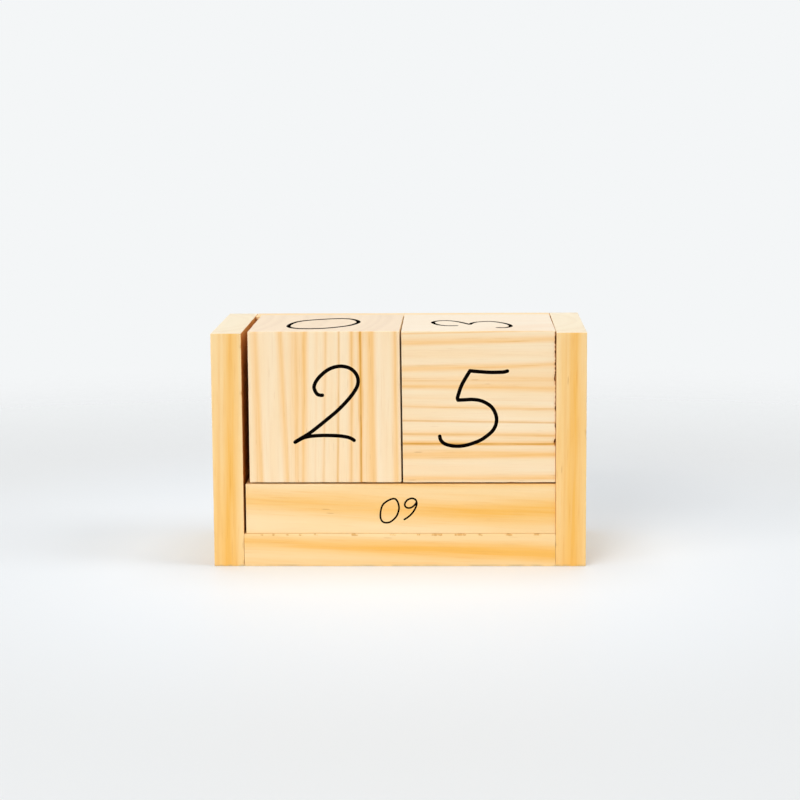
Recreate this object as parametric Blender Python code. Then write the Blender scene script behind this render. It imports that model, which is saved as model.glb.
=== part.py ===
"""Cube desk calendar: a dowelled pine holder, three loose month bars and two loose number cubes.

Metres, +Z up. The front faces -Y. The origin is on the table, under the middle of the holder.
Run it with: blender --background --python part.py
"""

import math

import bmesh
import bpy
from mathutils import Matrix

# Number cubes
CUBE_EDGE = 0.0500
CUBE_ARRIS = 0.0004
CUBE_LEFT_PLAY = 0.0019
CUBE_MIDDLE_PLAY = 0.0004
CUBE_RIGHT_PLAY = 0.0003
CUBE_REAR_PLAY = 0.0007
CUBE_PROUD = 0.0006  # the cubes stand this far above the tops of the side boards

# Month bars, square in section, so that any of their four sides can be turned to the front
BAR_POSITIONS = ("rear", "middle", "front")
BAR_ARRIS = 0.00035
BAR_LEFT_PLAY = 0.0007
BAR_RIGHT_PLAY = 0.0003
BAR_GAP = 0.0003  # from bar to bar, and behind the rear bar

# Boards of the holder
SIDE_THICKNESS = 0.0098
SIDE_ARRIS = 0.00045
BASE_THICKNESS = 0.0106
BASE_ARRIS = 0.0003
BACK_THICKNESS = 0.0092
BACK_ARRIS = 0.0003
FRONT_SETBACK = 0.0004  # the cubes and bars stand this far behind the front edges of the boards
SEAT_GAP = 0.0003  # under a piece that rests on another
GLUE_GAP = 0.0003  # between boards that are glued
ARRIS_STEPS = 2

# Dowels that join the boards, and their bores
DOWEL_RADIUS = 0.0025
DOWEL_LENGTH = 0.0200
DOWEL_CHAMFER = 0.0006
FLUTE_COUNT = 12
FLUTE_DEPTH = 0.0003
POINTS_PER_FLUTE = 3
BORE_PLAY = 0.0003  # on the radius
BORE_END_PLAY = 0.0005
BORE_FACETS = 32
SIDE_SKIN = 0.0030  # wood left between a bore and the outer face of a side board
BASE_DOWEL_INSET = 0.0140  # from the front and rear edges of the base
BACK_DOWEL_INSET = 0.0130  # from the lower and upper edges of the back board

# Colours of the wood, and how matt it is
CUBE_COLOUR = (0.86, 0.70, 0.47)
BAR_COLOUR = (0.83, 0.62, 0.36)
SIDE_COLOUR = (0.80, 0.58, 0.33)
BASE_COLOUR = (0.84, 0.64, 0.38)
BACK_COLOUR = (0.82, 0.61, 0.36)
DOWEL_COLOUR = (0.68, 0.50, 0.31)
SAWN_ROUGHNESS = 0.55
DOWEL_ROUGHNESS = 0.70
FLUTE_SHARPNESS = math.radians(30)

# Width of the holder, from its left to its right
POCKET_WIDTH = CUBE_LEFT_PLAY + 2 * CUBE_EDGE + CUBE_MIDDLE_PLAY + CUBE_RIGHT_PLAY
INNER_LEFT = -POCKET_WIDTH / 2
INNER_RIGHT = POCKET_WIDTH / 2

# Depth, from its front to its rear: the bars share out what the cubes take
POCKET_DEPTH = CUBE_EDGE + CUBE_REAR_PLAY
BAR_SECTION = POCKET_DEPTH / len(BAR_POSITIONS) - BAR_GAP
HOLDER_DEPTH = FRONT_SETBACK + POCKET_DEPTH + BACK_THICKNESS
FRONT = -HOLDER_DEPTH / 2
REAR = HOLDER_DEPTH / 2
LOOSE_FRONT = FRONT + FRONT_SETBACK
POCKET_REAR = REAR - BACK_THICKNESS

# Height, from the table up
BAR_BOTTOM = BASE_THICKNESS + SEAT_GAP
CUBE_BOTTOM = BAR_BOTTOM + BAR_SECTION + SEAT_GAP
SIDE_HEIGHT = CUBE_BOTTOM + CUBE_EDGE - CUBE_PROUD
BACK_BOTTOM = BASE_THICKNESS + GLUE_GAP

# Depth of the dowels in the boards
DOWEL_IN_SIDE = SIDE_THICKNESS - SIDE_SKIN - BORE_END_PLAY
ALONG_X = Matrix.Rotation(math.pi / 2, 4, "Y")


def clear_scene():
    for obj in list(bpy.data.objects):
        bpy.data.objects.remove(obj, do_unlink=True)


def wood(name, colour, roughness):
    """A plain finish for one piece of wood."""
    finish = bpy.data.materials.new(name)
    finish.use_nodes = True
    shader = finish.node_tree.nodes["Principled BSDF"]
    shader.inputs["Base Color"].default_value = (*colour, 1)
    shader.inputs["Roughness"].default_value = roughness
    shader.inputs["Metallic"].default_value = 0
    finish.diffuse_color = (*colour, 1)
    return finish


def add_piece(name, shape, place, parent, colour, roughness=SAWN_ROUGHNESS):
    """Makes a bmesh a named object at its place from its parent's origin."""
    bmesh.ops.recalc_face_normals(shape, faces=shape.faces)
    mesh = bpy.data.meshes.new(name)
    shape.to_mesh(mesh)
    shape.free()
    mesh.materials.append(wood(name, colour, roughness))
    piece = bpy.data.objects.new(name, mesh)
    bpy.context.scene.collection.objects.link(piece)
    piece.parent = parent
    piece.location = place
    return piece


def runs_along(edge, axes):
    """True where the edge of a block lies along one of the axes."""
    span = edge.verts[1].co - edge.verts[0].co
    return any(getattr(span.normalized(), axis) ** 2 > 0.5 for axis in axes)


def eased_block(name, size, place, arris, eased_along, parent, colour):
    """A sawn block with its origin at its middle, and the edges along the given axes eased."""
    shape = bmesh.new()
    bmesh.ops.create_cube(shape, size=1)
    bmesh.ops.scale(shape, vec=size, verts=shape.verts)
    bmesh.ops.bevel(
        shape,
        geom=[edge for edge in shape.edges if runs_along(edge, eased_along)],
        offset=arris,
        offset_type="OFFSET",
        segments=ARRIS_STEPS,
        profile=0.5,
        affect="EDGES",
        material=-1,
    )
    return add_piece(name, shape, place, parent, colour)


def fluted_dowel(name, middle, parent):
    """A beech dowel along X, with glue flutes down its length and a chamfer at each end."""
    shape = bmesh.new()
    end = bmesh.ops.create_circle(
        shape,
        cap_ends=True,
        segments=FLUTE_COUNT * POINTS_PER_FLUTE,
        radius=DOWEL_RADIUS,
        matrix=Matrix.Translation((-DOWEL_LENGTH / 2, 0, 0)) @ ALONG_X,
    )["verts"]
    flute_bottoms = end[::POINTS_PER_FLUTE]
    flute_scale = 1 - FLUTE_DEPTH / DOWEL_RADIUS
    bmesh.ops.scale(shape, vec=(1, flute_scale, flute_scale), verts=flute_bottoms)
    end_scale = 1 - DOWEL_CHAMFER / DOWEL_RADIUS
    bmesh.ops.scale(shape, vec=(1, end_scale, end_scale), verts=end)
    stages = (
        (DOWEL_CHAMFER, 1 / end_scale),
        (DOWEL_LENGTH - 2 * DOWEL_CHAMFER, 1),
        (DOWEL_CHAMFER, end_scale),
    )
    rim = list(shape.edges)
    for length, scale in stages:
        grown = bmesh.ops.extrude_edge_only(shape, edges=rim)["geom"]
        rim = [part for part in grown if isinstance(part, bmesh.types.BMEdge)]
        ring = [part for part in grown if isinstance(part, bmesh.types.BMVert)]
        bmesh.ops.translate(shape, vec=(length, 0, 0), verts=ring)
        bmesh.ops.scale(shape, vec=(1, scale, scale), verts=ring)
    bmesh.ops.holes_fill(shape, edges=rim)
    dowel = add_piece(name, shape, middle, parent, DOWEL_COLOUR, DOWEL_ROUGHNESS)
    dowel.data.shade_smooth()
    dowel.data.set_sharp_from_angle(angle=FLUTE_SHARPNESS)


def bore_boards(name, boards, middle, parent):
    """Bores one dowel hole into both boards of a joint. It is blind in each of them."""
    shape = bmesh.new()
    bmesh.ops.create_cone(
        shape,
        cap_ends=True,
        segments=BORE_FACETS,
        radius1=DOWEL_RADIUS + BORE_PLAY,
        radius2=DOWEL_RADIUS + BORE_PLAY,
        depth=DOWEL_LENGTH + 2 * BORE_END_PLAY,
        matrix=ALONG_X,
    )
    cutter = add_piece(name, shape, middle, parent, DOWEL_COLOUR)
    cutter.hide_render = True
    cutter.display_type = "WIRE"
    for board in boards:
        cut = board.modifiers.new(name, "BOOLEAN")
        cut.operation = "DIFFERENCE"
        cut.solver = "EXACT"
        cut.object = cutter


def make_holder():
    """Two side boards with the base and the back dowelled between them."""
    holder = bpy.data.objects.new("holder", None)
    bpy.context.scene.collection.objects.link(holder)

    side_size = (SIDE_THICKNESS, HOLDER_DEPTH, SIDE_HEIGHT)
    side_middle = INNER_RIGHT + SIDE_THICKNESS / 2
    sides = {}
    for hand, direction in (("left", -1), ("right", 1)):
        place = (direction * side_middle, 0, SIDE_HEIGHT / 2)
        sides[hand] = eased_block(
            f"{hand}_side_board", side_size, place, SIDE_ARRIS, "xyz", holder, SIDE_COLOUR
        )

    rail_length = POCKET_WIDTH - 2 * GLUE_GAP
    base_size = (rail_length, HOLDER_DEPTH, BASE_THICKNESS)
    base_place = (0, 0, BASE_THICKNESS / 2)
    base = eased_block("base_board", base_size, base_place, BASE_ARRIS, "x", holder, BASE_COLOUR)

    back_size = (rail_length, BACK_THICKNESS, SIDE_HEIGHT - BACK_BOTTOM)
    back_place = (0, REAR - BACK_THICKNESS / 2, (BACK_BOTTOM + SIDE_HEIGHT) / 2)
    back = eased_block("back_board", back_size, back_place, BACK_ARRIS, "x", holder, BACK_COLOUR)

    joints = (
        ("base_front", base, FRONT + BASE_DOWEL_INSET, BASE_THICKNESS / 2),
        ("base_rear", base, REAR - BASE_DOWEL_INSET, BASE_THICKNESS / 2),
        ("back_lower", back, back_place[1], BACK_BOTTOM + BACK_DOWEL_INSET),
        ("back_upper", back, back_place[1], SIDE_HEIGHT - BACK_DOWEL_INSET),
    )
    dowel_middle = INNER_RIGHT + DOWEL_IN_SIDE - DOWEL_LENGTH / 2
    for hand, direction in (("left", -1), ("right", 1)):
        for joint, rail, y, z in joints:
            middle = (direction * dowel_middle, y, z)
            bore_boards(f"{hand}_{joint}_bore", (sides[hand], rail), middle, holder)
            fluted_dowel(f"{hand}_{joint}_dowel", middle, holder)
    return holder


def make_month_bars(holder):
    """Loose bars side by side on the base. Each carries the one ahead, as a push from behind does."""
    length = POCKET_WIDTH - BAR_LEFT_PLAY - BAR_RIGHT_PLAY
    middle_x = INNER_LEFT + BAR_LEFT_PLAY + length / 2
    carrier = holder
    place = (middle_x, POCKET_REAR - BAR_GAP - BAR_SECTION / 2, BAR_BOTTOM + BAR_SECTION / 2)
    for position in BAR_POSITIONS:
        size = (length, BAR_SECTION, BAR_SECTION)
        carrier = eased_block(
            f"{position}_month_bar", size, place, BAR_ARRIS, "xyz", carrier, BAR_COLOUR
        )
        place = (0, -BAR_SECTION - BAR_GAP, 0)


def make_number_cubes(holder):
    """Two loose cubes that rest on the bars, with their fronts in line with the front bar."""
    size = (CUBE_EDGE, CUBE_EDGE, CUBE_EDGE)
    y = LOOSE_FRONT + CUBE_EDGE / 2
    z = CUBE_BOTTOM + CUBE_EDGE / 2
    left = (INNER_LEFT + CUBE_LEFT_PLAY + CUBE_EDGE / 2, y, z)
    right = (INNER_RIGHT - CUBE_RIGHT_PLAY - CUBE_EDGE / 2, y, z)
    eased_block("left_number_cube", size, left, CUBE_ARRIS, "xyz", holder, CUBE_COLOUR)
    eased_block("right_number_cube", size, right, CUBE_ARRIS, "xyz", holder, CUBE_COLOUR)


clear_scene()
holder = make_holder()
make_month_bars(holder)
make_number_cubes(holder)
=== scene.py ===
import math
import random

import bmesh
import bpy
from mathutils import Euler, Matrix, Vector, noise


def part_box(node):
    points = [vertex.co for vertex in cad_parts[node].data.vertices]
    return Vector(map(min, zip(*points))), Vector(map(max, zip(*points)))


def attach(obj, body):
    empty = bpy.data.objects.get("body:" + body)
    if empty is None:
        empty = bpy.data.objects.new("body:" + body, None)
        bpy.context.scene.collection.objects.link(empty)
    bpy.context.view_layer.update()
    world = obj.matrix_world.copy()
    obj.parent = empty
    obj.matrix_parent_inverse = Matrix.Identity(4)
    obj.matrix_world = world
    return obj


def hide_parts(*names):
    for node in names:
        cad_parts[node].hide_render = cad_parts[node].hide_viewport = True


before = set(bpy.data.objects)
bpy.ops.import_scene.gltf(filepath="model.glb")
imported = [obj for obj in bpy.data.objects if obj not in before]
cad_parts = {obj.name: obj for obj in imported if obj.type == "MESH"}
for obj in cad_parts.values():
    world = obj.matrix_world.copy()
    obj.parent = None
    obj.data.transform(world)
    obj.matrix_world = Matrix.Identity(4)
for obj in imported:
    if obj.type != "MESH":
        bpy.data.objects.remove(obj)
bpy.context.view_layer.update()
mm = 0.001


# Colours and shader wiring

def tint(red, green, blue):  # a colour as a picture program writes it, made linear
    def linear(value):
        share = value / 255
        return share / 12.92 if share <= 0.04045 else ((share + 0.055) / 1.055) ** 2.4
    return (linear(red), linear(green), linear(blue), 1)


class Wire:  # one socket of a finish, so that its maths reads as maths
    def __init__(self, socket):
        self.socket = socket
        self.tree = socket.id_data

    def node(self, kind, settings=None, sockets=None, output=0):
        made = self.tree.nodes.new(kind)
        for name, value in (settings or {}).items():
            if name == "stops":
                fillRamp(made.color_ramp, value)
            elif name == "blend":
                made.color_ramp.interpolation = value
            else:
                setattr(made, name, value)
        for name, value in (sockets or {}).items():
            if isinstance(value, Wire):
                self.tree.links.new(value.socket, made.inputs[name])
            else:
                made.inputs[name].default_value = value
        return Wire(made.outputs[output])

    def maths(self, operation, *values):
        return self.node("ShaderNodeMath", {"operation": operation}, dict(enumerate(values)))

    def __add__(self, other):
        return self.maths("ADD", self, other)

    def __radd__(self, other):
        return self.maths("ADD", other, self)

    def __sub__(self, other):
        return self.maths("SUBTRACT", self, other)

    def __rsub__(self, other):
        return self.maths("SUBTRACT", other, self)

    def __mul__(self, other):
        return self.maths("MULTIPLY", self, other)

    def __rmul__(self, other):
        return self.maths("MULTIPLY", other, self)

    def __truediv__(self, other):
        return self.maths("DIVIDE", self, other)

    def ease(self, low, high):  # 0 below low, 1 above high, smooth between
        sockets = {"Value": self, "From Min": low, "From Max": high}
        return self.node("ShaderNodeMapRange", {"interpolation_type": "SMOOTHSTEP"}, sockets)

    def mix(self, first, second):  # this wire is the second colour's share
        return self.node("ShaderNodeMix", {"data_type": "RGBA"}, {0: self, 6: first, 7: second}, 2)

    def stretch(self, factors, shift=(0, 0, 0)):
        sockets = {0: self, 1: factors, 2: shift}
        return self.node("ShaderNodeVectorMath", {"operation": "MULTIPLY_ADD"}, sockets)

    def inUnits(self, sizes, shift=(0, 0, 0)):  # the same place, measured in these sizes
        return self.stretch([1 / size for size in sizes], shift)

    def towards(self, direction):  # how far this direction agrees with another
        sockets = {0: self, 1: direction}
        return self.node("ShaderNodeVectorMath", {"operation": "DOT_PRODUCT"}, sockets, 1)

    def noise(self, detail=2, roughness=0.55):
        sockets = {"Vector": self, "Scale": 1, "Detail": detail, "Roughness": roughness}
        return self.node("ShaderNodeTexNoise", {}, sockets)


def fillRamp(ramp, stops):
    while len(ramp.elements) < len(stops):
        ramp.elements.new(1)
    for element, (place, level) in zip(ramp.elements, stops):
        element.position = place
        element.color = (level, level, level, 1)


def newFinish(name):
    finish = bpy.data.materials.new(name)
    finish.use_nodes = True
    tree = finish.node_tree
    shader = tree.nodes["Principled BSDF"]
    place = tree.nodes.new("ShaderNodeTexCoord")
    return finish, shader, Wire(place.outputs["Object"]), Wire(place.outputs["Normal"])


def plug(shader, sockets):
    tree = shader.id_data
    for name, value in sockets.items():
        if isinstance(value, Wire):
            tree.links.new(value.socket, shader.inputs[name])
        else:
            shader.inputs[name].default_value = value


# Pine: growth rings round a pith, seen on every side of a piece as that side cuts them

pineLook = {
    "linesPerRamp": 10,
    "longWave": 0.30,  # mm that a line wanders over the length of a piece
    "shortWave": 0.14,
    "fibreWave": 0.09,
    "driftScale": 0.1,  # the ramp's whole height, as a slope
    "threadRise": 0.62,  # mm
    "threadFall": 0.42,
    "margin": 6,  # mm of lines beyond a piece's corners
    "seedStep": 3.7,  # how far apart the noise of two pieces lies
    "endOn": (0.72, 0.94),  # how squarely a side cuts the grain, from not at all to fully end grain
    "faceOn": (0.75, 0.97),  # the same for a side that faces a given way
    "canals": (1.5, 1.5, 13),  # mm, the last along the grain
    "pores": (0.16, 0.16, 3),
    "rayTurns": 420,
    "rayLength": 7,  # mm
    # how far up the painted shade along the foot reaches
    "footShadeTop": (0.2 * mm, 0.8 * mm),
    "specks": (0.5 * mm, 0.5 * mm, 0.9 * mm),
    "splinters": (1.1 * mm, 1.1 * mm, 2.4 * mm),
    "roughness": 0.44,
    "specular": 0.3,
    "bumpDepth": 0.08 * mm,
}

# Noise in the wood: its size across and along the grain in mm, its detail, and a shift so that no two agree
pineNoise = {
    "longWave": (26, 70, 1, 0),
    "shortWave": (5, 34, 1, 3),
    "fibres": (0.28, 11, 2, 5),
    "depth": (3.2, 42, 1, 9),
    "streaks": (0.9, 26, 2, 13),
    "tone": (4.6, 60, 1, 21),
    "threads": (0.7, 7, 2, 31),
    "hairs": (0.4, 15, 2, 41),
    "footShadeMask": (2.2, 6, 1, 51),
}


def grainTurn(log):
    return Euler([math.radians(angle) for angle in log["turn"]]).to_matrix()


def radiusAt(log, point):  # mm from the pith to a point given in mm
    local = grainTurn(log).inverted() @ (Vector(point) - Vector(log["pith"]))
    return math.hypot(local.x, local.y)


def faceRadius(log, place):  # mm from the pith to a place on the side that the photograph shows
    return radiusAt(log, Vector(log["start"]) + Vector(log["across"]) * place)


def growthLines(log):  # radius, rise, fall, depth and how dark its thread is, from the pith outwards
    outward = faceRadius(log, 1) > faceRadius(log, 0)
    given = []
    for place, before, after, depth, thread in log["lines"]:
        rise, fall = (before, after) if outward else (after, before)
        given.append((faceRadius(log, place), rise, fall, depth, thread))
    given.sort()
    low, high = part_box(log["node"])
    corners = [(x, y, z) for x in (low.x, high.x) for y in (low.y, high.y) for z in (low.z, high.z)]
    radii = [radiusAt(log, Vector(corner) / mm) for corner in corners]
    dice = random.Random(log["seed"])
    spacing, *ranges = log["filler"]

    def filler(radius):
        return (radius, *(dice.uniform(*limits) for limits in ranges))

    inner = given[0][0] - dice.uniform(*spacing)
    while inner > min(radii) - pineLook["margin"]:
        given.insert(0, filler(inner))
        inner -= dice.uniform(*spacing)
    outer = given[-1][0] + dice.uniform(*spacing)
    while outer < max(radii) + pineLook["margin"]:
        given.append(filler(outer))
        outer += dice.uniform(*spacing)
    return given


def rampSum(ring, lines, stopsFor):
    total = None
    for first in range(0, len(lines), pineLook["linesPerRamp"]):
        stops = stopsFor(lines[first:first + pineLook["linesPerRamp"]])
        start, span = stops[0][0], stops[-1][0] - stops[0][0]
        share = (ring - start) / span
        places = [((radius - start) / span, level) for radius, level in stops]
        ramp = share.node("ShaderNodeValToRGB", {"blend": "EASE", "stops": places}, {"Fac": share})
        total = ramp if total is None else total + ramp
    return total


def bandStops(lines):  # soft bands of late wood, which run together where they overlap
    stops = [(lines[0][0] - lines[0][1], 0)]
    for line, after in zip(lines, lines[1:]):
        radius, rise, fall, depth, thread = line
        stops.append((radius, depth))
        overlap = radius + fall - (after[0] - after[1])
        if overlap > 0:
            share = fall / (fall + after[1])
            level = min(depth, after[3]) * min(1, overlap / (fall + after[1]) * 1.6)
            stops.append((radius + (after[0] - radius) * share, level))
        else:
            stops += [(radius + fall, 0), (after[0] - after[1], 0)]
    return stops + [(lines[-1][0], lines[-1][3]), (lines[-1][0] + lines[-1][2], 0)]


def threadStops(lines):  # the thin dark edge that ends each year's growth
    stops = []
    for radius, rise, fall, depth, thread in lines:
        start, end = radius - pineLook["threadRise"], radius + pineLook["threadFall"]
        stops += [(start, 0), (radius, thread), (end, 0)]
    return stops


def lineDrift(log, radius, along):  # lines don't all run quite along the grain
    radii = sorted((faceRadius(log, place), slope) for place, slope in log["drift"])
    start, span = radii[0][0], radii[-1][0] - radii[0][0]
    outward = 1 if faceRadius(log, 1) > faceRadius(log, 0) else -1
    stops = [((place - start) / span, 0.5 + slope / pineLook["driftScale"]) for place, slope in radii]
    share = (radius - start) / span
    ramp = share.node("ShaderNodeValToRGB", {"blend": "EASE", "stops": stops}, {"Fac": share})
    return (ramp - 0.5) * along * (-outward * pineLook["driftScale"])


def pineFinish(name, log):
    look = pineLook
    finish, shader, spot, facing = newFinish(name)
    turn = [math.radians(angle) for angle in log["turn"]]
    pith = [value * mm for value in log["pith"]]
    local = spot.node("ShaderNodeMapping", {"vector_type": "TEXTURE"},
                      {"Vector": spot, "Location": pith, "Rotation": turn})
    place = local.inUnits((mm, mm, mm))  # with Z along the grain
    flat = place.stretch((1, 1, 0))
    radius = flat.node("ShaderNodeVectorMath", {"operation": "LENGTH"}, {0: flat}, 1)
    along = place.node("ShaderNodeSeparateXYZ", {}, {"Vector": place}, 2)
    seed = log["seed"] * look["seedStep"]

    def patches(kind):
        across, along, detail, shift = pineNoise[kind]
        return place.inUnits((across, across, along), (seed + shift, seed, seed)).noise(detail)

    fibres = patches("fibres")
    ring = (radius + (patches("longWave") - 0.5) * (2 * look["longWave"])
            + (patches("shortWave") - 0.5) * (2 * look["shortWave"])
            + (fibres - 0.5) * (2 * look["fibreWave"]))
    if "drift" in log:
        ring = ring + lineDrift(log, radius, along)
    if "bow" in log:
        ring = ring + along * along * log["bow"]
    lines = growthLines(log)
    streaks = patches("streaks").ease(0.35, 0.7)
    late = rampSum(ring, lines, bandStops) * (0.74 + 0.52 * patches("depth")) * (0.88 + 0.24 * streaks)
    if "swell" in log:
        late = late * (1 + along * log["swell"])
    threads = rampSum(ring, lines, threadStops) * (0.35 + 1.1 * patches("threads"))

    # The canals that carried resin show as short dark dashes along the grain
    cells = place.inUnits(look["canals"], (seed, seed, 0))
    cell = cells.node("ShaderNodeTexVoronoi", {}, {"Vector": cells, "Scale": 1})
    chance = cell.node("ShaderNodeTexVoronoi", {}, {"Vector": cells, "Scale": 1}, 1)
    picked = chance.node("ShaderNodeSeparateColor", {}, {"Color": chance}).ease(0.54, 0.62)
    canals = (1 - cell.ease(0.07, 0.15)) * picked * (0.25 + 0.75 * late.ease(0, 0.5))

    # Where a side cuts across the grain, pores show, the rings fade and rays run out from the pith
    grain = grainTurn(log) @ Vector((0, 0, 1))
    across = facing.towards(grain)
    endGrain = across.maths("ABSOLUTE", across).ease(*look["endOn"])
    placeX = place.node("ShaderNodeSeparateXYZ", {}, {"Vector": place})
    placeY = place.node("ShaderNodeSeparateXYZ", {}, {"Vector": place}, 1)
    around = placeX.maths("ARCTAN2", placeY, placeX) * look["rayTurns"]
    outwards = radius / look["rayLength"]
    rayPlace = around.node("ShaderNodeCombineXYZ", {}, {"X": around, "Y": outwards, "Z": seed})
    rays = rayPlace.noise(1).ease(0.5, 0.72)
    pores = place.inUnits(look["pores"]).noise(1)

    tone = (patches("tone") + along * log.get("tilt", 0)).ease(0.3, 0.72)
    early = tone.mix(tint(*log["pale"]), tint(*log["peach"]))
    sideColour = late.mix(early, tint(*log["late"]))
    sideColour = threads.mix(sideColour, tint(*log["deep"]))
    hairs = patches("hairs").ease(0.56, 0.76) * (0.10 + 0.34 * late)
    fibreShade = ((fibres - 0.5) * 0.30 + (streaks - 0.5) * 0.08 + hairs) * log.get("streaky", 1)
    sideColour = fibreShade.maths("MAXIMUM", fibreShade, 0).mix(sideColour, tint(*log["deep"]))
    sideColour = (canals * 0.42).mix(sideColour, tint(*log["canal"]))
    endColour = (late * 0.45).mix(tint(*log["endPale"]), tint(*log["endLate"]))
    endColour = ((pores - 0.5) * 0.25 + rays * 0.08).mix(endColour, tint(*log["endLate"]))
    colour = endGrain.mix(sideColour, endColour)
    if "inner" in log:  # painted shade: a board's inner side, facing into a narrow gap, is toned browner
        inner = facing.towards(log["inner"]).ease(*look["faceOn"])
        sockets = {0: inner, 6: colour, 7: tint(*log["innerTone"])}
        colour = colour.node("ShaderNodeMix", {"data_type": "RGBA", "blend_type": "MULTIPLY"}, sockets, 2)
    if "lightFacing" in log:  # painted light: the side that faces this way is toned to the light and sheen that fall on it
        lightFacing = facing.towards(log["lightFacing"]).ease(*look["faceOn"])
        colour = (lightFacing * log["lightFacingShare"]).mix(colour, tint(*log["lightFacingTone"]))
    if "footShade" in log:  # painted shade: the lowest part of a board, where it stands, is darkened as by its contact shadow
        height = spot.node("ShaderNodeSeparateXYZ", {}, {"Vector": spot}, 2)
        footShadeMask = (1 - height.ease(*look["footShadeTop"])) * patches("footShadeMask").ease(0.25, 0.75)
        colour = (footShadeMask * 0.6).mix(colour, tint(*log["footShade"]))
    # painted shade: chips and torn arrises are darkened for their torn fibres and for the shade in them and
    # in the gaps beside them
    torn = place.node("ShaderNodeAttribute", {"attribute_name": "torn"}, {}, 2)
    specks = spot.inUnits(look["specks"]).noise(3)
    splinters = spot.inUnits(look["splinters"], (3, 1, 2)).noise(1)
    raggedness = (specks - 0.5) * 1.2 + (splinters - 0.5) * 1.6
    colour = (torn * (0.9 + raggedness)).ease(0.1, 0.9).mix(colour, tint(*log["tornAndShadePale"]))
    colour = (torn + raggedness).ease(0.62, 0.86).mix(colour, tint(*log["tornAndShadeDark"]))

    roughness = look["roughness"] - 0.1 * late + 0.1 * (fibres - 0.5) + 0.06 * endGrain
    sideRelief = late * 0.35 - fibres * 0.9 - canals * 0.8
    relief = (1 - endGrain) * sideRelief - endGrain * (pores * 1.4 + rays * 0.5)
    sockets = {"Height": relief, "Strength": 0.55, "Distance": look["bumpDepth"]}
    bump = relief.node("ShaderNodeBump", {}, sockets)
    plug(shader, {"Base Color": colour, "Roughness": roughness, "Normal": bump, "IOR": 1.46,
                  "Specular IOR Level": look["specular"]})
    return finish


# Wooden blocks

blockLook = {
    "corner": 60,  # degrees: an edge that turns by more gets its arris broken
    "smooth": 42,  # degrees: an edge that turns by less is shaded smooth
    "rounds": 3,  # segments across an arris
    "cuts": (0.45, 1.0),  # mm: more cuts beside each arris, so that wear stays near it
    "reach": 1.1,  # mm from an arris that it is worn
    "coarse": 4.3,  # mm, the size of the wear's two noises
    "fine": 1.1,
    "side": 2,  # mm: what is so near to a side leans with it
    "boreRoom": 0.08,  # mm round a dowel, and past both of its ends together
    "boreDepth": 0.5,
    "boreRounds": 48,
}


def blockBox(block):  # the solid's box, with its sides moved by the piece's own fit in mm
    low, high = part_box(block["node"])
    none = (0, 0, 0)
    return low + Vector(block.get("lowFit", none)) * mm, high + Vector(block.get("highFit", none)) * mm


def sawnBlock(block):
    low, high = blockBox(block)
    size = high - low
    arris = block["arris"] * mm
    shape = bmesh.new()
    bmesh.ops.create_cube(shape, size=1)
    bmesh.ops.scale(shape, vec=size, verts=shape.verts)
    bmesh.ops.translate(shape, vec=(low + high) / 2, verts=shape.verts)
    if "chamfer" in block:  # the top front edge alone
        edges = [edge for edge in shape.edges
                 if all(vert.co.y < low.y + 1e-6 and vert.co.z > high.z - 1e-6 for vert in edge.verts)]
        bmesh.ops.bevel(shape, geom=edges, offset=block["chamfer"] * mm, offset_type="OFFSET", segments=2,
                        profile=0.5, affect="EDGES", material=-1)
    sharp = [edge for edge in shape.edges if edge.calc_face_angle(0) > math.radians(blockLook["corner"])]
    bmesh.ops.bevel(shape, geom=sharp, offset=arris, offset_type="OFFSET", segments=blockLook["rounds"],
                    profile=0.5, affect="EDGES", material=-1)
    for axis, spacing in enumerate(block["spacing"]):
        length = size[axis] - 2.5 * arris
        runs = [edge for edge in shape.edges
                if abs((edge.verts[0].co - edge.verts[1].co)[axis]) > length]
        bmesh.ops.subdivide_edges(shape, edges=runs, cuts=round(size[axis] / (spacing * mm)) - 1)
    for axis in range(3):
        normal = Vector((0, 0, 0))
        normal[axis] = 1
        for distance in blockLook["cuts"]:
            for place in (low[axis] + distance * mm, high[axis] - distance * mm):
                point = Vector((0, 0, 0))
                point[axis] = place
                bmesh.ops.bisect_plane(shape, geom=shape.verts[:] + shape.edges[:] + shape.faces[:],
                                       dist=1e-6, plane_co=point, plane_no=normal)
    wearArrises(shape, low, high, block)
    setAskew(shape, block)
    return shape


def setAskew(shape, block):  # for wood and ink alike: sides that lean, and a back some mm further left
    low, high = blockBox(block)
    leanSide(shape, low.x, block.get("leftLean", ()))
    leanSide(shape, high.x, block.get("rightLean", ()))
    for vert in shape.verts:
        vert.co.x -= block.get("askew", 0) * mm * (vert.co.y - low.y) / (high.y - low.y)


def leanSide(shape, side, lean):  # lean: heights, and how many mm the side stands further right there
    for vert in shape.verts:
        if abs(vert.co.x - side) > blockLook["side"] * mm:
            continue
        height = vert.co.z / mm
        for (low, first), (up, second) in zip(lean, lean[1:]):
            if low <= height < up:
                vert.co.x += (first + (second - first) * (height - low) / (up - low)) * mm


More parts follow.
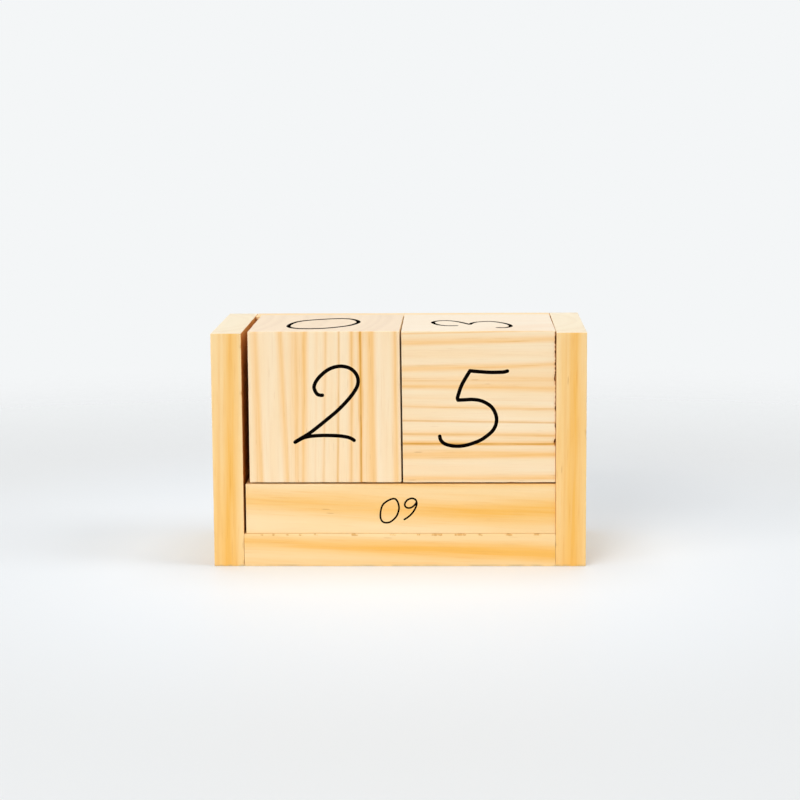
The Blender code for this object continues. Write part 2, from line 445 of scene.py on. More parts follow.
def wearArrises(shape, low, high, block):
    # the layer marks spots that are darkened for torn fibres and with painted shade
    tornAndShadeLayer = shape.verts.layers.float.new("torn")
    reach = blockLook["reach"] * mm
    seed = block["seed"]
    middle = (low + high) / 2
    narrow = Vector(block.get("narrow", (1, 1, 1)))
    spots = [(Vector(spot) * mm, radius * mm, depth * mm, block["tornAndShadeLevel"])
             for spot, radius, depth in block.get("chips", ())]
    # painted shade: spots beside the right cube's right gap are toned tan for the shade in the groove there
    spots += [(Vector(spot) * mm, radius * mm, 0, block["grooveShadeLevel"])
              for spot, radius in block.get("grooveShade", ())]
    for vert in shape.verts:
        gaps = [min(vert.co[axis] - low[axis], high[axis] - vert.co[axis]) for axis in range(3)]
        first, second = sorted(gaps)[:2]
        near = max(0, 1 - (first + second) / reach)
        if not near:
            continue
        coarse = noise.noise(vert.co / (blockLook["coarse"] * mm) + Vector((seed, 0, 0)))
        fine = noise.noise(vert.co / (blockLook["fine"] * mm) + Vector((0, seed, 0)))
        depth = block["wobble"] * mm * (0.5 + coarse) + block["nicks"] * mm * max(0, fine - 0.25)
        for spot, radius, deep, shade in spots:
            away = ((vert.co - spot) * narrow).length / radius
            if away < 1:
                depth += deep * (1 - away * away) * (0.75 + 0.5 * fine)
                if near > 0.15:
                    vert[tornAndShadeLayer] = max(vert[tornAndShadeLayer], shade * (1 - away ** 4))
        inward = Vector([math.copysign(1, middle[axis] - vert.co[axis]) if gaps[axis] < reach * 0.9 else 0
                         for axis in range(3)])
        if inward.length:
            vert.co += inward.normalized() * max(0, depth) * near


def addPiece(name, shape, body, finish, nodes=()):
    bmesh.ops.recalc_face_normals(shape, faces=shape.faces[:])
    mesh = bpy.data.meshes.new(name)
    shape.to_mesh(mesh)
    shape.free()
    mesh.materials.append(finish)
    mesh.shade_smooth()
    mesh.set_sharp_from_angle(angle=math.radians(blockLook["smooth"]))
    piece = bpy.data.objects.new(name, mesh)
    bpy.context.scene.collection.objects.link(piece)
    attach(piece, body)
    if nodes:
        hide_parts(*nodes)
    return piece


def boreFor(piece, dowels):  # the dowels' holes, cut from their own places
    shape = bmesh.new()
    for dowel in dowels:
        low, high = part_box(dowel)
        matrix = Matrix.Translation((low + high) / 2) @ Matrix.Rotation(math.pi / 2, 4, "Y")
        radius = (high.z - low.z) / 2 + blockLook["boreRoom"] * mm
        depth = high.x - low.x + blockLook["boreDepth"] * mm
        bmesh.ops.create_cone(shape, cap_ends=True, segments=blockLook["boreRounds"],
                              radius1=radius, radius2=radius, depth=depth, matrix=matrix)
    mesh = bpy.data.meshes.new("bores")
    shape.to_mesh(mesh)
    shape.free()
    cutter = bpy.data.objects.new("bores", mesh)
    bpy.context.scene.collection.objects.link(cutter)
    cut = piece.modifiers.new("bores", "BOOLEAN")
    cut.operation = "DIFFERENCE"
    cut.solver = "EXACT"
    cut.object = cutter
    bored = bpy.data.meshes.new_from_object(piece.evaluated_get(bpy.context.evaluated_depsgraph_get()))
    piece.modifiers.clear()
    piece.data = bored
    bpy.data.objects.remove(cutter)


# The holder's four boards

sideTones = {
    "pale": (253, 222, 168), "peach": (252, 209, 138), "late": (250, 191, 92), "deep": (236, 166, 74),
    "canal": (200, 136, 66), "endPale": (251, 236, 206), "endLate": (236, 208, 164),
    # painted shade: the foot tone darkens where a board stands, as in a contact shadow
    "filler": ((4, 7), (2.2, 3.6), (0.6, 1.2), (0.5, 0.8), (0.3, 0.7)), "footShade": (190, 172, 138),
    # painted shade: the inner tone browns the sides that face into the narrow gaps
    # the torn tones darken chips for torn fibres and with painted shade in them
    "tornAndShadeLevel": 0.45, "tornAndShadePale": (214, 160, 96), "tornAndShadeDark": (150, 104, 60), "innerTone": (222, 182, 130),
    "streaky": 1.5,
}

leftSide = {
    "node": "left_side_board", "body": "holder", "slot": "side_pine", "seed": 1,
    "arris": 0.12, "spacing": (5, 4, 1.4), "wobble": 0.07, "nicks": 0.22,
    "highFit": (0.15, 0, 0),
    "chips": [((-51.15, -30.15, z), 0.8, 0.2) for z in (73.0, 57.6, 8.7, 7.2, 5.2, 1.2)],
    "pith": (-86, 4, 30), "turn": (0.6, 0.6, 0), "swell": -0.004, "tilt": -0.005,
    "start": (-61.1, -30.15, 38), "across": (1, 0, 0), "inner": (1, 0, 0),
    "lines": [(-6.5, 4.0, 4.0, 0.8, 0.1), (2.1, 2.2, 0.5, 0.32, 0.2), (5.7, 4.5, 3.5, 0.98, 0.12),
              (17.0, 5.0, 4.0, 0.9, 0.1)],
    **sideTones,
}

rightSide = {
    "node": "right_side_board", "body": "holder", "slot": "side_pine", "seed": 2,
    "arris": 0.12, "spacing": (5, 4, 1.4), "wobble": 0.07, "nicks": 0.22,
    "lowFit": (-0.15, 0, 0),
    "chips": [((61.1, -30.15, 44.5), 1.2, 0.2), ((61.1, -30.15, 42.9), 0.9, 0.2),
              ((51.15, -30.15, 2.2), 0.8, 0.2), ((51.15, -30.15, 7.4), 0.7, 0.2)],
    "pith": (24, 6, 30), "turn": (0, 0.5, 0), "swell": -0.004, "tilt": -0.005,
    "start": (51.3, -30.15, 38), "across": (1, 0, 0), "inner": (-1, 0, 0),
    "lines": [(-6.5, 4.0, 4.0, 0.8, 0.1), (2.9, 3.0, 0.5, 0.52, 0.16), (5.5, 5.2, 3.2, 0.98, 0.12),
              (17.6, 4.6, 4.0, 0.9, 0.1)],
    **sideTones,
}

railTones = {
    "pale": (254, 224, 174), "peach": (253, 216, 156), "late": (251, 192, 94), "deep": (238, 168, 76),
    "canal": (200, 136, 66), "endPale": (253, 234, 198), "endLate": (232, 200, 150),
    "filler": ((4.5, 8), (2.4, 4.0), (0.7, 1.4), (0.5, 0.85), (0.25, 0.6)),
    # the torn tones darken breaks and chips for torn fibres and with painted shade in them
    "tornAndShadeLevel": 0.9, "tornAndShadePale": (242, 202, 136), "tornAndShadeDark": (226, 174, 104),
}

# Small breaks along the top front arris of the base, from the left: place and half length in mm
baseBreaks = [(-45.3, 0.9), (-41.4, 0.9), (-36.8, 0.8), (-32.6, 0.9), (-27.7, 1.1), (-14.8, 1.4), (-2.1, 1.3),
              (6.3, 1.0), (12.1, 2.2), (19.9, 2.2), (26.4, 1.1), (35.5, 1.4), (45.2, 1.6)]

base = {
    "node": "base_board", "body": "holder", "slot": "base_pine", "seed": 3,
    "arris": 0.08, "chamfer": 0.45, "spacing": (0.6, 4, 4), "wobble": 0.02, "nicks": 0.06,
    "lowFit": (-0.145, 0, 0), "highFit": (0.145, 0, 0.26),
    "chips": [((x, -30.1, 10.45), radius, 0.03) for x, radius in baseBreaks], "narrow": (1, 1.5, 1.5),
    # painted shade: the foot tone darkens where the base stands, as in a contact shadow
    "footShade": (190, 172, 138),
    "pith": (0, 20, -60), "turn": (0, 92.0, 0.4), "swell": 0.003, "tilt": 0.004,
    "start": (0, -30.15, 10.6), "across": (0, 0, -1),
    "lines": [(-6.0, 3.0, 3.4, 0.8, 0.1), (4.5, 4.0, 4.6, 0.95, 0.1), (11.4, 3.4, 3.0, 0.45, 0.1)],
    **railTones,
}

back = {
    "node": "back_board", "body": "holder", "slot": "back_pine", "seed": 4,
    "arris": 0.3, "spacing": (2, 4, 2.5), "wobble": 0.06, "nicks": 0.2,
    "lowFit": (-0.12, 0, -0.02), "highFit": (0.12, 0, 0),
    "pith": (0, -2, 44), "turn": (0, 91.2, 3.0),
    "start": (0, 30.15, 44), "across": (0, 0, 1),
    "lines": [(5.4, 2.4, 0.5, 0.75, 0.7), (14.3, 3.0, 0.6, 0.62, 0.55), (23.1, 3.2, 0.5, 0.8, 0.7),
              (35.0, 3.0, 0.6, 0.65, 0.55)],
    **railTones, "deep": (222, 150, 58),
}

dowelNames = [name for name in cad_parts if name.endswith("_dowel")]
dowelsIn = {
    "leftSide": [name for name in dowelNames if name.startswith("left_")],
    "rightSide": [name for name in dowelNames if name.startswith("right_")],
    "base": [name for name in dowelNames if "_base_" in name],
    "back": [name for name in dowelNames if "_back_" in name],
}

for name, block in (("leftSide", leftSide), ("rightSide", rightSide), ("base", base), ("back", back)):
    finish = pineFinish(name + "Pine", block)
    board = addPiece(name, sawnBlock(block), block["body"], finish, [block["node"]])
    boreFor(board, dowelsIn[name])
print("boards sawn and bored")


# The three month bars

frontBar = {
    "node": "front_month_bar", "body": "front_bar", "slot": "bar_pine", "seed": 5,
    "arris": 0.08, "spacing": (2, 4, 4), "wobble": 0.02, "nicks": 0.06,
    "lowFit": (0.16, 0.03, 0.0), "highFit": (0.135, -0.03, -0.10),
    "pith": (0, 40, 92), "turn": (0, 92.5, 0), "swell": 0.004, "tilt": 0.004, "bow": 0.0004,
    "start": (0, -29.75, 27.5), "across": (0, 0, -1),
    "lines": [(-1.6, 2.4, 2.4, 0.8, 0.2), (8.5, 5.0, 5.0, 0.78, 0.1), (24.0, 5.0, 4.0, 0.9, 0.1)],
    **railTones,
}

middleBar = {
    "node": "middle_month_bar", "body": "middle_bar", "slot": "bar_pine", "seed": 6,
    "arris": 0.25, "spacing": (1.6, 4, 4), "wobble": 0.06, "nicks": 0.2,
    "lowFit": (0.03, 0.03, 0.03), "highFit": (-0.03, -0.03, -0.10),
    "pith": (0, -60, -30), "turn": (0, 89.2, 1.4),
    "start": (0, -12.85, 27.5), "across": (0, 0, -1),
    "lines": [(3.0, 3.0, 2.6, 0.7, 0.1), (11.6, 4.6, 4.0, 0.8, 0.15)],
    **railTones,
}

rearBar = {
    "node": "rear_month_bar", "body": "rear_bar", "slot": "bar_pine", "seed": 7,
    "arris": 0.25, "spacing": (1.6, 4, 4), "wobble": 0.06, "nicks": 0.2,
    "lowFit": (0.03, 0.03, 0.03), "highFit": (-0.03, -0.03, -0.10),
    "pith": (0, 70, -50), "turn": (0, 90.8, -1.2),
    "start": (0, 4.05, 27.5), "across": (0, 0, -1),
    "lines": [(2.0, 2.8, 2.6, 0.6, 0.1), (9.2, 3.6, 3.0, 0.8, 0.2), (15.0, 2.8, 2.4, 0.6, 0.1)],
    **railTones,
}

for name, block in (("frontBar", frontBar), ("middleBar", middleBar), ("rearBar", rearBar)):
    finish = pineFinish(name + "Pine", block)
    addPiece(name, sawnBlock(block), block["body"], finish, [block["node"]])
print("month bars planed")


# The two number cubes, sawn one after the other from the same stick

cubeTones = {
    "pale": (253, 230, 194), "peach": (253, 224, 181), "late": (251, 192, 103), "deep": (216, 152, 46),
    "canal": (196, 136, 72), "endPale": (254, 236, 204), "endLate": (218, 184, 138),
    "filler": ((3.0, 7.5), (1.5, 2.8), (0.8, 1.6), (0.3, 0.6), (0.1, 0.5)),
    # the torn tones darken chips for torn fibres and with painted shade in them
    "tornAndShadeLevel": 0.9, "tornAndShadePale": (208, 134, 50), "tornAndShadeDark": (72, 30, 0),
    "lines": [(3.5, 2.6, 1.6, 0.56, 0.05), (11.9, 2.0, 1.6, 0.50, 0.06), (16.3, 3.0, 1.6, 0.46, 0.12),
              (18.4, 2.0, 1.9, 0.64, 0.08), (22.4, 0.8, 0.6, 0.10, 0.06), (25.2, 1.6, 1.0, 0.34, 0.16),
              (29.7, 1.3, 0.7, 0.32, 0.42), (34.0, 1.7, 1.7, 0.50, 0.28), (37.0, 1.9, 1.5, 0.70, 1.0),
              (40.8, 3.0, 1.8, 0.70, 0.06), (44.6, 1.8, 1.6, 0.12, 0), (48.6, 2.2, 1.2, 0.56, 0.08)],
    "drift": [(0, -0.024), (3.6, -0.026), (12, -0.034), (15.5, -0.008), (18.7, 0.020), (27, 0.020),
              (34, 0.008), (37.4, 0), (41, -0.008), (50, -0.010)],
}

leftCube = {
    "node": "left_number_cube", "body": "left_cube", "slot": "cube_pine", "seed": 8,
    "arris": 0.28, "spacing": (2, 2, 1.2), "wobble": 0.06, "nicks": 0.16,
    "lowFit": (0.34, 0.03, 0.12), "highFit": (-0.06, -0.03, -0.03), "rightLean": [(20, 0.26), (80, -0.18)],
    # painted light: the top is toned to the light and sheen that fall on it
    "lightFacing": (0, 0, 1), "lightFacingTone": (240, 213, 188), "lightFacingShare": 0.45,
    "chips": [((-49.1, -29.75, 59.2), 0.8, 0.25)],
    "pith": (-170, 10, 52.8), "turn": (0, 0, 0),
    "start": (-49.4, -29.75, 52.8), "across": (1, 0, 0),
    **cubeTones, "tornAndShadeLevel": 0,
}

# Torn spots down the right front arris of the right cube, darkened for their torn fibres and with painted
# shade of the gap beside them: height, radius and depth in mm
torn = [(77.0, 0.8, 0.10), (75.6, 1.0, 0.20), (74.0, 1.1, 0.3), (72.3, 1.0, 0.25), (70.8, 1.0, 0.3),
        (69.4, 0.7, 0.3), (68.2, 0.6, 0.3), (67.0, 0.8, 0.35), (65.4, 0.7, 0.35), (64.2, 0.6, 0.3),
        (63.3, 0.7, 0.4), (62.2, 1.3, 0.8), (60.4, 0.6, 0.4), (59.0, 0.5, 0.35), (57.9, 0.5, 0.3),
        (56.0, 0.6, 0.5), (53.9, 0.7, 0.5), (52.5, 0.7, 0.5), (41.2, 1.4, 0.8)]

rightCube = {
    "node": "right_number_cube", "body": "right_cube", "slot": "cube_pine", "seed": 8,
    "arris": 0.2, "spacing": (2, 2, 0.5), "wobble": 0.06, "nicks": 0.16,
    "lowFit": (0.07, 0.03, 0.12), "highFit": (-0.03, -0.03, -0.03),
    "chips": [((50.97, -29.72, z), radius, depth) for z, radius, depth in torn],
    # painted shade in the groove beside the right gap
    "grooveShade": [((50.97, -29.72, z), 1.5) for z in (51.6, 50.2, 48.8, 47.4, 46.0, 44.4)], "grooveShadeLevel": 0.42,
    "narrow": (2.2, 2.2, 1),
    "askew": 0.3, "leftLean": [(20, 0.26), (80, -0.18)],
    "rightLean": [(20, 0.15), (50, 0.14), (60, 0.09), (68, 0.05), (80, 0.01)],
    "pith": (26, -24, -85), "turn": (0, 90, 0),
    # painted light: the top is toned to the light and sheen that fall on it
    "lightFacing": (0, 0, 1), "lightFacingTone": (247, 235, 217), "lightFacingShare": 0.6,
    "start": (26, -29.75, 77.8), "across": (0, 0, -1),
    **cubeTones, "lines": [(0.3, 0.35, 0.6, 0.5, 0.1), *cubeTones["lines"]],
}

for name, block in (("leftCube", leftCube), ("rightCube", rightCube)):
    finish = pineFinish(name + "Pine", block)
    addPiece(name, sawnBlock(block), block["body"], finish, [block["node"]])
print("number cubes sanded")


# Numbers in a thin slanted hand: each is a list of strokes, in mm from the middle of a cube's side

hand = {
    "0": [[(-12.6, -9.5), (-11.7, -0.7), (-8.8, 5.9), (-2.3, 10.6), (4.4, 12.5), (8.3, 9.0), (10.1, 1.7),
           (8.7, -5.4), (5.7, -10.9), (-0.6, -16.2), (-7.1, -17.1), (-10.9, -14.8), (-12.6, -9.5)]],
    "1": [[(-4.6, 7.4), (-1.6, 9.6), (3.4, 13.4)], [(3.4, 13.4), (1.2, 5.0), (-1.4, -4.0), (-4.2, -12.6)]],
    "2": [[(-0.6, 4.0), (-1.4, 4.0), (-2.3, 4.4), (-2.9, 5.3), (-3.3, 6.5), (-3.0, 7.8), (-2.1, 9.3),
           (-0.6, 10.9), (1.4, 12.4), (3.7, 13.3), (5.9, 13.5), (8.1, 13.0), (9.6, 12.0), (10.7, 10.5),
           (11.1, 8.8), (10.8, 7.0), (9.7, 5.0), (8.1, 2.9), (5.9, 0.5), (3.7, -1.6), (0.8, -4.0),
           (-2.4, -6.6), (-5.2, -8.7), (-8.7, -10.8), (-9.7, -11.5)],
          [(-9.7, -11.5), (-8.1, -10.6), (-6.5, -9.9), (-4.3, -9.5), (-1.3, -9.3), (1.5, -9.3), (4.3, -9.4),
           (6.7, -9.7), (8.5, -10.2), (9.6, -10.9)]],
    "3": [[(-9.8, 7.1), (-9.7, 10.3), (-6.7, 13.3), (-0.2, 15.0), (4.3, 13.5), (5.4, 10.4), (2.0, 6.7),
           (-6.1, 2.7)],
          [(-6.1, 2.7), (-1.7, 1.7), (1.2, -0.3), (2.3, -4.6), (-3.8, -9.2), (-11.1, -10.8), (-15.7, -9.0),
           (-15.6, -6.3)]],
    "4": [[(0.8, 13.0), (-2.4, 7.2), (-6.4, 0.6), (-10.2, -4.6)],
          [(-10.2, -4.6), (-5.0, -4.0), (2.0, -3.9), (9.2, -4.5)],
          [(6.6, 4.8), (4.4, -1.6), (2.0, -8.0), (0.2, -13.2)]],
    "5": [[(9.3, 11.8), (8.2, 11.5), (6.0, 11.4), (3.4, 11.4), (0.4, 11.6), (-2.8, 11.9)],
          [(-2.8, 11.9), (-4.4, 9.3), (-5.7, 6.8), (-6.6, 4.1), (-6.9, 2.9), (-6.7, 2.3)],
          [(-6.7, 2.3), (-4.5, 2.4), (-2.1, 2.5), (0.3, 2.2), (2.3, 1.4), (4.1, 0.1), (5.2, -1.6),
           (5.8, -3.6), (5.6, -5.7), (4.6, -7.7), (2.8, -9.4), (0.6, -10.9), (-2.1, -12.0), (-4.7, -12.7),
           (-7.3, -12.9), (-9.6, -12.6), (-11.4, -11.9), (-12.4, -10.8), (-12.7, -9.6)]],
    "6": [[(7.2, 13.2), (2.6, 10.2), (-2.4, 5.4), (-6.2, -0.6), (-8.0, -6.4), (-6.8, -10.8), (-2.8, -12.9),
           (2.2, -11.6), (5.8, -8.0), (6.4, -3.8), (3.6, -1.2), (-0.8, -1.4), (-4.8, -4.0), (-7.4, -7.6)]],
    "7": [[(-8.6, 10.6), (-6.6, 11.8), (-3.0, 12.1), (2.6, 12.2), (9.8, 13.0)],
          [(9.8, 13.0), (6.2, 7.0), (1.4, -0.8), (-3.0, -7.6), (-6.2, -13.0)]],
    "8": [[(7.4, 10.4), (3.6, 13.2), (-1.2, 12.6), (-4.2, 9.4), (-3.2, 5.6), (0.8, 2.2), (3.6, -1.8),
           (4.4, -6.6), (1.6, -11.2), (-3.6, -13.0), (-8.2, -10.8), (-8.8, -6.4), (-5.0, -2.0), (0.8, 2.2),
           (5.8, 5.6), (8.2, 8.4), (7.4, 10.4)]],
}
hand["9"] = [[(-x, -y) for x, y in stroke] for stroke in hand["6"]]

pen = {
    "cubeWidth": 1.21,  # mm
    "zeroWidth": 1.45,  # the numbers on top are a little bolder
    "threeWidth": 1.35,
    "zeroNib": (1, 1.7),  # and their pen is broader from front to back
    "threeNib": (1.4, 1),
    "barWidth": 0.60,
    "barScale": 0.27,
    "barAdvance": 6.4,
    "film": 0.024,  # mm that the ink stands proud
    "step": 0.35,  # mm along a stroke
    "ends": (12, 30, 50, 70),  # degrees round a stroke's end
}

sides = {  # for each side of a block: what faces out, to the right and up
    "front": ((0, -1, 0), (1, 0, 0), (0, 0, 1)),
    "back": ((0, 1, 0), (-1, 0, 0), (0, 0, 1)),
    "left": ((-1, 0, 0), (0, -1, 0), (0, 0, 1)),
    "right": ((1, 0, 0), (0, 1, 0), (0, 0, 1)),
    "top": ((0, 0, 1), (1, 0, 0), (0, 1, 0)),
    "under": ((0, 0, -1), (1, 0, 0), (0, -1, 0)),
    "behind": ((0, 1, 0), (1, 0, 0), (0, 0, -1)),  # the back, as it reads when a bar is rolled to the front
}


def smoothLine(points, step):  # a Catmull-Rom line through the points, cut into even steps
    points = [Vector(point) for point in points]
    closed = (points[0] - points[-1]).length < 1e-6
    before = points[-2] if closed else points[0] * 2 - points[1]
    after = points[1] if closed else points[-1] * 2 - points[-2]
    chain = [before, *points, after]
    line = []
    for a, b, c, d in zip(chain, chain[1:], chain[2:], chain[3:]):
        count = max(2, round((c - b).length / step))
        for index in range(count):
            t = index / count
            line.append(0.5 * (2 * b + (c - a) * t + (2 * a - 5 * b + 4 * c - d) * t ** 2
                               + (3 * b - a - 3 * c + d) * t ** 3))
    if not closed:
        line.append(points[-1])
    return line, closed


def strokeMesh(points, width, step):
    line, closed = smoothLine(points, step)
    curve = bpy.data.curves.new("stroke", "CURVE")
    curve.dimensions = "3D"
    curve.bevel_depth = width / 2
    curve.bevel_resolution = 3
    curve.use_fill_caps = not closed
    if closed:
        beads = [(point, 1) for point in line]
    else:  # both ends are rounded by letting the radius die away over half the width
        cap = [math.sin(math.radians(angle)) for angle in pen["ends"]]
        reach = [(1 - math.sqrt(1 - share * share)) * width / 2 for share in cap]
        start = (line[1] - line[0]).normalized()
        end = (line[-2] - line[-1]).normalized()
        first = line[0] - start * width / 2
        last = line[-1] - end * width / 2
        beads = [(first + start * far, share) for far, share in zip(reach, cap)]
        beads += [(point, 1) for point in line]
        beads += [(last + end * far, share) for far, share in reversed(list(zip(reach, cap)))]
    spline = curve.splines.new("POLY")
    spline.points.add(len(beads) - 1)
    spline.use_cyclic_u = closed
    for bead, (point, share) in zip(spline.points, beads):
        bead.co = (point.x, point.y, 0, 1)
        bead.radius = share
    holder = bpy.data.objects.new("stroke", curve)
    bpy.context.scene.collection.objects.link(holder)
    mesh = bpy.data.meshes.new_from_object(holder.evaluated_get(bpy.context.evaluated_depsgraph_get()))
    bpy.data.objects.remove(holder)
    return mesh


def writeNumbers(name, block, numbers, finish):
    low, high = blockBox(block)
    middle = (low + high) / 2
    half = (high - low) / 2
    ink = bmesh.new()
    for side, (text, scale, width, turn, nib) in numbers.items():
        out, right, up = (Vector(direction) for direction in sides[side])
        reach = abs(half.dot(out))
        place = Matrix.Translation(middle + out * reach)
        place @= Matrix((right, up, out)).transposed().to_4x4() @ Matrix.Rotation(math.radians(turn), 4, "Z")
        for index, digit in enumerate(text):
            shift = (index - (len(text) - 1) / 2) * pen["barAdvance"] if len(text) > 1 else 0
            for stroke in hand[digit]:
                points = [((x * scale + shift) / nib[0], y * scale / nib[1], 0) for x, y in stroke]
                mesh = strokeMesh(points, width, pen["step"] * scale ** 0.5)
                flatten = Matrix.Diagonal((mm * nib[0], mm * nib[1], 2 * pen["film"] * mm / width, 1))
                mesh.transform(place @ flatten)
                ink.from_mesh(mesh)
                bpy.data.meshes.remove(mesh)
    bmesh.ops.remove_doubles(ink, verts=ink.verts, dist=1e-7)
    setAskew(ink, block)
    return addPiece(name, ink, block["body"], finish)


def inkFinish():
    finish, shader, spot, facing = newFinish("numberInk")
    place = spot.inUnits((mm, mm, mm))
    mottle = place.inUnits((0.6, 0.6, 0.6)).noise(3)
    fine = place.inUnits((0.12, 0.12, 0.12)).noise(1)
    colour = mottle.ease(0.35, 0.7).mix(tint(8, 6, 5), tint(15, 11, 9))
    bump = fine.node("ShaderNodeBump", {}, {"Height": fine, "Strength": 0.25, "Distance": 0.02 * mm})
    plug(shader, {"Base Color": colour, "Roughness": 0.66 + 0.16 * mottle, "Normal": bump, "IOR": 1.45,
                  "Specular IOR Level": 0})
    return finish


numberInk = inkFinish()


def cubeFace(digit, width=pen["cubeWidth"], nib=(1, 1), turn=0):
    return (digit, 1, width, turn, nib)


def barFace(text):
    return (text, pen["barScale"], pen["barWidth"], 0, (1, 1))


leftNumbers = {
    "front": cubeFace("2"), "top": cubeFace("0", pen["zeroWidth"], pen["zeroNib"]),
    "left": cubeFace("1"), "right": cubeFace("6"), "back": cubeFace("7"), "under": cubeFace("8"),
}
rightNumbers = {
    "front": cubeFace("5"), "top": cubeFace("3", pen["threeWidth"], pen["threeNib"], 90),
    "left": cubeFace("0"), "right": cubeFace("1"), "back": cubeFace("2"), "under": cubeFace("4"),
}
writeNumbers("leftCubeNumbers", leftCube, leftNumbers, numberInk)
writeNumbers("rightCubeNumbers", rightCube, rightNumbers, numberInk)
barSides = ("front", "top", "behind", "under")
for name, block, texts in (("frontBarNumbers", frontBar, ("09", "10", "11", "12")),
                           ("middleBarNumbers", middleBar, ("05", "06", "07", "08")),
                           ("rearBarNumbers", rearBar, ("01", "02", "03", "04"))):
    writeNumbers(name, block, {side: barFace(text) for side, text in zip(barSides, texts)}, numberInk)
print("numbers written")


# The fluted dowels keep their solids, and get beech

def beechFinish():
    finish, shader, spot, facing = newFinish("dowelBeech")
    place = spot.inUnits((mm, mm, mm))
    fibres = place.inUnits((9, 0.3, 0.3)).noise(2)
    broad = place.inUnits((30, 1.4, 1.4)).noise(1)
    flecks = place.inUnits((1.6, 0.22, 0.22), (3, 7, 1)).noise(1).ease(0.66, 0.74)
    colour = broad.ease(0.3, 0.7).mix(tint(226, 184, 140), tint(212, 164, 118))
    colour = (fibres.ease(0.45, 0.8) * 0.4).mix(colour, tint(192, 142, 98))
    colour = (flecks * 0.6).mix(colour, tint(150, 98, 62))
    height = fibres * 0.6 + flecks * 0.5
    bump = height.node("ShaderNodeBump", {}, {"Height": height, "Strength": 0.4, "Distance": 0.06 * mm})
    plug(shader, {"Base Color": colour, "Roughness": 0.6 + 0.12 * fibres, "Normal": bump, "IOR": 1.46})
    return finish


dowelBeech = beechFinish()
for name in dowelNames:
    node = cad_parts[name]
    node.data.materials.clear()
    node.data.materials.append(dowelBeech)
print("dowels stained")


# Floor, lamps and camera

floorLook = {
    "radius": 3.0,  # metres, as are all lengths here
    "rounds": 96,
    "lightPool": (0.07, 0.24),  # painted light: the paper is toned whiter under the calendar, as a pool of light
    "fade": (0.42, 0.78),  # and gives way to the background so far from a place in front of the calendar
    "ahead": 0.3,
    "near": (240, 245, 250), "plain": (230, 232, 233), "far": (244, 246, 247), "mottle": (236, 238, 240),
    "mottleScale": (6, 6, 6),
}


def makeFloor():
    shape = bmesh.new()
    bmesh.ops.create_circle(shape, cap_ends=True, segments=floorLook["rounds"], radius=floorLook["radius"])
    mesh = bpy.data.meshes.new("floor")
    shape.to_mesh(mesh)
    shape.free()
    floor = bpy.data.objects.new("floor", mesh)
    bpy.context.scene.collection.objects.link(floor)
    finish, shader, spot, facing = newFinish("paleFloor")
    mottle = spot.stretch(floorLook["mottleScale"]).noise(3)
    away = spot.node("ShaderNodeVectorMath", {"operation": "LENGTH"}, {0: spot}, 1)
    # painted light: the floor is toned whiter round the calendar, as a pool of light
    colour = away.ease(*floorLook["lightPool"]).mix(tint(*floorLook["near"]), tint(*floorLook["plain"]))
    colour = (mottle.ease(0.3, 0.7) * 0.1).mix(colour, tint(*floorLook["mottle"]))
    plug(shader, {"Base Color": colour, "Roughness": 0.6})
    moved = spot.stretch((1, 1, 1), (0, floorLook["ahead"], 0))
    far = moved.node("ShaderNodeVectorMath", {"operation": "LENGTH"}, {0: moved}, 1)
    fade = far.ease(*floorLook["fade"])
    tree = finish.node_tree
    clear = fade.node("ShaderNodeBsdfTransparent")
    joined = fade.node("ShaderNodeMixShader", {}, {0: fade, 1: Wire(shader.outputs[0]), 2: clear})
    tree.links.new(joined.socket, tree.nodes["Material Output"].inputs["Surface"])
    mesh.materials.append(finish)


lampAim = (0, 0, 0.03)
lamps = {  # place, width, height and power; the front ones throw shadows right, the right one left
    "frontLeft": ((-1.70, -1.44, 1.44), 1.20, 1.20, 12.9),
    "right": ((1.62, -0.31, 1.84), 1.00, 1.00, 12.5),
    "front": ((-0.68, -1.87, 1.06), 0.80, 0.80, 17.2),
    "over": ((0.00, 0.20, 2.10), 1.40, 1.40, 18.1),
}


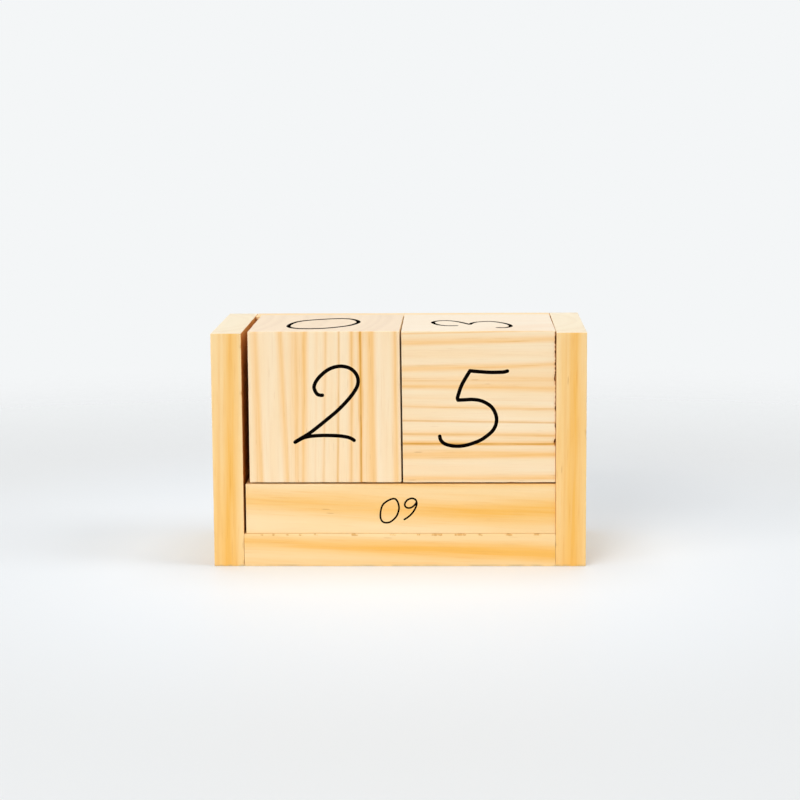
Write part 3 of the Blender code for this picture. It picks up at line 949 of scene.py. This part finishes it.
def makeLamps():
    for name, (place, width, height, power) in lamps.items():
        light = bpy.data.lights.new(name, "AREA")
        light.shape = "RECTANGLE"
        light.size = width
        light.size_y = height
        light.energy = power
        lamp = bpy.data.objects.new(name, light)
        bpy.context.scene.collection.objects.link(lamp)
        lamp.location = place
        lamp.rotation_euler = (Vector(lampAim) - Vector(place)).to_track_quat("-Z", "Y").to_euler()


roomLight = (0.24, 0.24, 0.24, 1)  # from all round, while the camera and mirrors see the far tone


def makeWorld():
    world = bpy.data.worlds.new("studio")
    bpy.context.scene.world = world
    world.use_nodes = True
    tree = world.node_tree
    paths = tree.nodes.new("ShaderNodeLightPath").outputs
    seen = Wire(paths["Is Camera Ray"]) + Wire(paths["Is Glossy Ray"]) + Wire(paths["Is Transmission Ray"])
    seen = seen.maths("MINIMUM", seen, 1)
    colour = seen.mix(roomLight, tint(*floorLook["far"]))
    background = tree.nodes["Background"]
    tree.links.new(colour.socket, background.inputs["Color"])
    background.inputs["Strength"].default_value = 1


view = {  # fitted to the edges of the calendar in the photograph
    "picture": 800,  # pixels across
    "focal": 2190.72,  # pixels
    "sensor": 36,  # mm
    "place": (21.73, -734.73, 160.12),  # mm
    "left": 1.731,  # degrees that it is turned to the left, looks down and is rolled
    "down": 8.459,
    "roll": -0.367,
    "clip": (0.05, 20),  # metres
}


def makeCamera():
    lens = bpy.data.cameras.new("camera")
    lens.sensor_width = view["sensor"]
    lens.lens = view["focal"] * view["sensor"] / view["picture"]
    lens.clip_start, lens.clip_end = view["clip"]
    camera = bpy.data.objects.new("camera", lens)
    bpy.context.scene.collection.objects.link(camera)
    turns = [(view["left"], "Z"), (90 - view["down"], "X"), (view["roll"], "Z")]
    left, down, roll = (Matrix.Rotation(math.radians(angle), 4, axis) for angle, axis in turns)
    camera.matrix_world = Matrix.Translation(Vector(view["place"]) * mm) @ left @ down @ roll
    bpy.context.scene.camera = camera


makeFloor()
makeLamps()
makeWorld()
makeCamera()
bpy.context.scene.view_settings.view_transform = "Standard"

print("scene ready")
